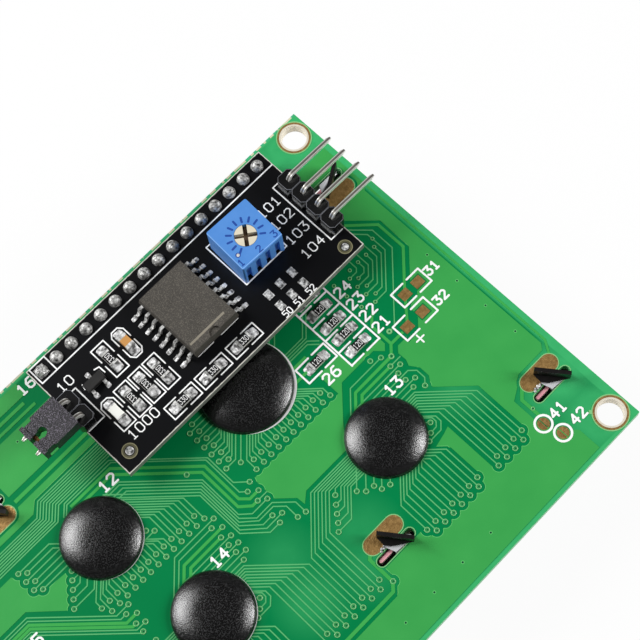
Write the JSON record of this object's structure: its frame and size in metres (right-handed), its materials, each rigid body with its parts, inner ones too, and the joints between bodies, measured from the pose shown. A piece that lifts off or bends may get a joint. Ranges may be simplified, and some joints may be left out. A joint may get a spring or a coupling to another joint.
{
  "type": "character lcd module",
  "caption": "Character display module, blue window in a metal bezel on a green board, with a small interface board standing on a pin header at its back.",
  "frame": {"origin": "centre of the bezel's front face, which lies on the surface, display side down", "axes": "+Z from the bezel's front to the back of the board, +X along the board's long side towards the four pin connector, +Y across the board towards the pin header"},
  "size_m": [0.098, 0.06, 0.0191],
  "materials": {
    "green_board": "glossy green lacquer on glass fibre board",
    "black_board": "satin black lacquer on glass fibre board",
    "bezel_metal": "satin black paint on steel sheet",
    "polarizer_blue": "glossy dark blue film",
    "polarizer_grey": "grey film",
    "cell_glass": "clear glass",
    "white_film": "matt white film",
    "clear_plate": "clear acrylic",
    "white_plastic": "matt white moulding",
    "lamp_white": "white lamp bar",
    "pink_rubber": "pink silicone strip",
    "black_plastic": "moulded black",
    "cap_black": "polished black moulding",
    "pin_metal": "tinned brass pins",
    "clip_metal": "bronze spring clip",
    "tin": "tinned leads",
    "solder": "bright solder",
    "chip_black": "moulded black",
    "resin_black": "glossy black resin",
    "blue_plastic": "blue moulding",
    "cream_plastic": "cream rotor",
    "tan_ceramic": "tan ceramic",
    "led_white": "clear lens on a white body",
    "resistor": "black glazed top with tin ends"
  },
  "bodies": {
    "module": {"main_board": "green_board", "bezel": "bezel_metal", "front_polarizer": "polarizer_blue", "front_glass": "cell_glass", "rear_glass": "cell_glass", "rear_polarizer": "polarizer_grey", "diffuser": "white_film", "light_guide": "clear_plate", "backlight_tray": "white_plastic", "backlight_leds": "lamp_white", "backlight_terminals": "tin", "contact_strip_lower": "pink_rubber", "contact_strip_upper": "pink_rubber", "header_strip": "black_plastic", "header_pins": "pin_metal", "header_solder_back": "solder", "header_solder_front": "solder", "backpack_board": "black_board", "controller_chip": "chip_black", "controller_leads": "tin", "trimmer_body": "blue_plastic", "trimmer_pins": "tin", "signal_header_block": "black_plastic", "signal_header_pins": "pin_metal", "jumper_header_block": "black_plastic", "jumper_header_pins": "pin_metal", "jumper_cap": "cap_black", "jumper_clip": "clip_metal", "capacitor": "tan_ceramic", "power_led": "led_white", "transistor_body": "chip_black", "transistor_leads": "tin", "underside_solder": "solder", "chip_cover_1": "resin_black", "chip_cover_2": "resin_black", "chip_cover_3": "resin_black", "chip_cover_4": "resin_black", "chip_cover_5": "resin_black", "board_resistor_1": "resistor", "board_resistor_2": "resistor", "board_resistor_3": "resistor", "board_resistor_4": "resistor", "board_resistor_5": "resistor", "board_resistor_6": "resistor", "backpack_resistor_1": "resistor", "backpack_resistor_2": "resistor", "backpack_resistor_3": "resistor", "backpack_resistor_4": "resistor", "backpack_resistor_5": "resistor", "backpack_resistor_6": "resistor", "backpack_resistor_7": "resistor"},
    "rotor": {"trimmer_rotor": "cream_plastic"}
  },
  "joints": [
    {"name": "trimmer_turn", "type": "hinge", "parent": "module", "child": "rotor", "pos_m": [0.0304, 0.01931, 0.0179], "axis": [0, 0, 1], "range_deg": [-130, 130]}
  ]
}
